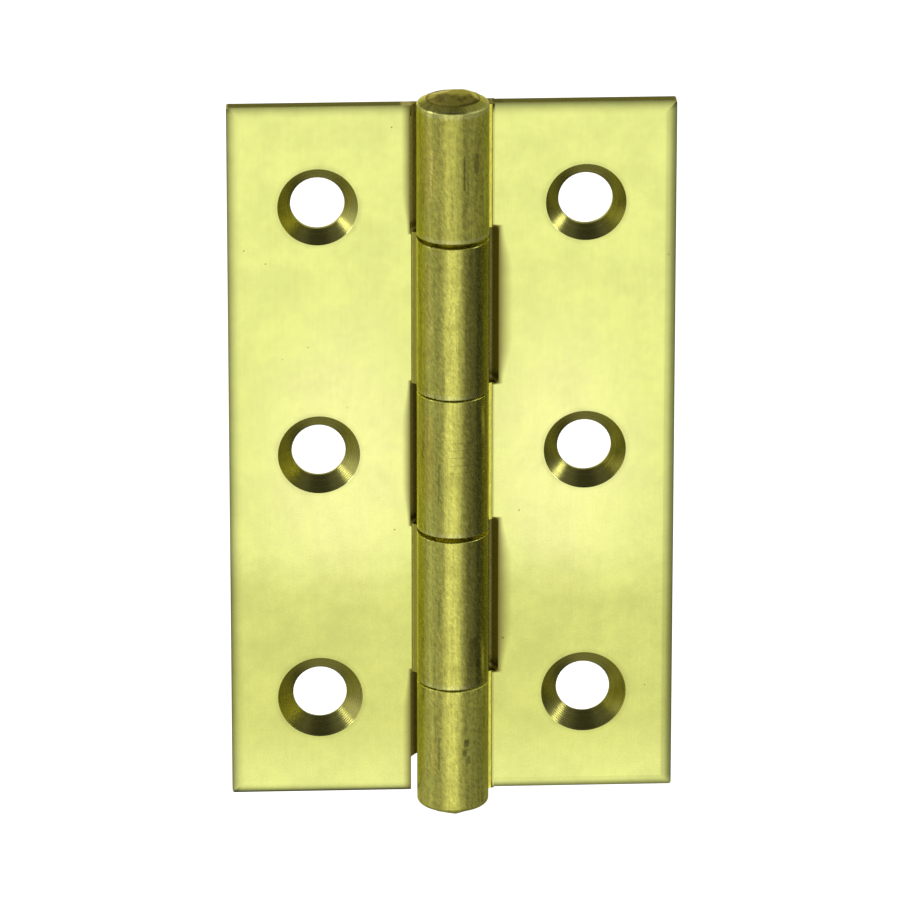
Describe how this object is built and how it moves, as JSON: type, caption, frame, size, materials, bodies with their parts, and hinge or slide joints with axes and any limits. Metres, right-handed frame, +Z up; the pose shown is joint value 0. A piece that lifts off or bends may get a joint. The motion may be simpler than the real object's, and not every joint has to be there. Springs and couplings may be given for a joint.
{
  "type": "narrow butt hinge",
  "caption": "Narrow butt hinge in polished drawn brass, lying open, with countersunk screw holes and a riveted pin.",
  "frame": {"origin": "on the pin's axis, at half the hinge's length", "axes": "+Z up along the pin, +X out over the right leaf, -Y out of the countersunk front, with both leaves open flat"},
  "size_m": [0.0462, 0.0074, 0.0798],
  "materials": {
    "polished_brass": "polished leaf faces, drawn and less bright on the barrel",
    "pin_brass": "dull, hammered ends"
  },
  "bodies": {
    "root": {"right_leaf": "polished_brass", "hinge_pin": "pin_brass"},
    "left": {"left_leaf": "polished_brass"}
  },
  "joints": [
    {"name": "leaf_swing", "type": "hinge", "parent": "root", "child": "left", "pos_m": [0, 0, 0], "axis": [0, 0, 1], "range_deg": [-70, 180]}
  ]
}
